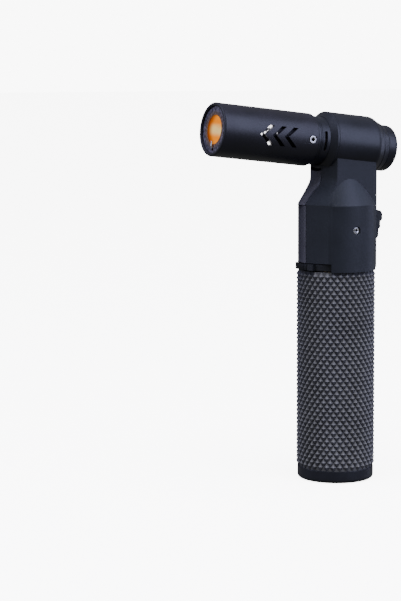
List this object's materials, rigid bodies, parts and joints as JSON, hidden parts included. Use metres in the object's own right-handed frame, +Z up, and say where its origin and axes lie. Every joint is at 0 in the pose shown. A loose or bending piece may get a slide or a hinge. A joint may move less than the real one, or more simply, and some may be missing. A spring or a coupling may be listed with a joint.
{
  "type": "butane torch",
  "caption": "Handheld butane torch with a knurled fuel-tank grip, finger trigger, spark lighting, flame adjuster, thumb lock and a vented barrel tilted slightly upwards.",
  "frame": {"origin": "centre of the base on the surface that the torch stands on", "axes": "+Z up along the grip, +X the way the barrel points, +Y to the torch's left"},
  "size_m": [0.0878, 0.034, 0.1626],
  "materials": {
    "grip": "knurled, satin black",
    "housing": "satin black",
    "head": "satin black",
    "barrel": "satin black",
    "trigger": "satin dark grey",
    "black_plastic": "moulded",
    "adjuster": "moulded, ribbed",
    "tank": "drawn",
    "brass": "turned",
    "burner_brass": "heat-tinted",
    "steel": "brushed",
    "bright_steel": "bright",
    "rubber": "moulded",
    "ceramic": null,
    "hose": "extruded",
    "lead": "extruded insulation",
    "wick": "felted"
  },
  "bodies": {
    "torch": {"base_cap": "head", "grip_sleeve": "grip", "fuel_tank": "tank", "tank_head": "tank", "tank_oring": "rubber", "fill_valve_body": "brass", "fill_valve_seal": "rubber", "fill_valve_plug": "brass", "fill_valve_spring": "bright_steel", "outlet_valve_body": "brass", "outlet_valve_plug": "brass", "outlet_valve_spring": "bright_steel", "vapour_wick": "wick", "valve_bracket": "steel", "adjuster_clip": "steel", "housing_left": "housing", "housing_right": "housing", "housing_screws": "bright_steel", "front_cover": "trigger", "back_spine": "housing", "trigger_pin": "steel", "gas_lever_pin": "steel", "piezo_body": "black_plastic", "head_body": "head", "tail_cap": "head", "air_collar": "head", "barrel": "barrel", "barrel_screws": "bright_steel", "jet_holder": "steel", "jet_nozzle": "brass", "mixing_tube": "brass", "burner_head": "burner_brass", "flame_tube": "burner_brass", "flame_ring": "steel", "heat_shield": "steel", "electrode_insulator": "ceramic", "electrode": "bright_steel", "gas_hose": "hose", "spark_lead": "lead"},
    "trigger": {"trigger": "trigger"},
    "piezo_plunger": {"piezo_plunger": "black_plastic"},
    "gas_lever": {"gas_lever": "steel"},
    "outlet_valve": {"outlet_valve_stem": "brass", "outlet_valve_seat": "rubber"},
    "flame_adjuster": {"flame_adjuster": "adjuster"},
    "lock_slide": {"lock_slide": "black_plastic"},
    "refill_valve": {"fill_valve_stem": "brass"}
  },
  "joints": [
    {"name": "trigger_pull", "type": "hinge", "parent": "torch", "child": "trigger", "pos_m": [0.0144, 0, 0.118], "axis": [0, -1, 0], "range_deg": [0, 15], "stiffness_Nm_per_rad": 0.4, "springref_deg": -5.73},
    {"name": "piezo_push", "type": "slide", "parent": "torch", "child": "piezo_plunger", "axis": [-0.8495, 0, -0.5276], "range_m": [0, 0.00363]},
    {"name": "gas_lever_tilt", "type": "hinge", "parent": "torch", "child": "gas_lever", "pos_m": [0.011, 0, 0.1055], "axis": [0, 1, 0], "range_deg": [0, 5.45]},
    {"name": "outlet_valve_lift", "type": "slide", "parent": "torch", "child": "outlet_valve", "axis": [0, 0, 1], "range_m": [0, 0.00102], "deforming": ["outlet_valve_spring", "gas_hose"]},
    {"name": "flame_adjust", "type": "hinge", "parent": "torch", "child": "flame_adjuster", "pos_m": [0, 0, 0.0926], "axis": [0, 0, 1], "range_deg": [-26, 26]},
    {"name": "lock_slide_travel", "type": "slide", "parent": "torch", "child": "lock_slide", "axis": [0, 0, 1], "range_m": [0, 0.004]},
    {"name": "refill_valve_push", "type": "slide", "parent": "torch", "child": "refill_valve", "axis": [0, 0, 1], "range_m": [0, 0.0012], "stiffness_N_per_m": 1500, "springref_m": -0.001, "deforming": ["fill_valve_spring"]}
  ],
  "couplings": [
    {"joint": "piezo_push", "follows": "trigger_pull", "m_per_rad": 0.01379},
    {"joint": "gas_lever_tilt", "follows": "trigger_pull", "ratio": 0.359},
    {"joint": "outlet_valve_lift", "follows": "trigger_pull", "m_per_rad": 0.00382}
  ]
}
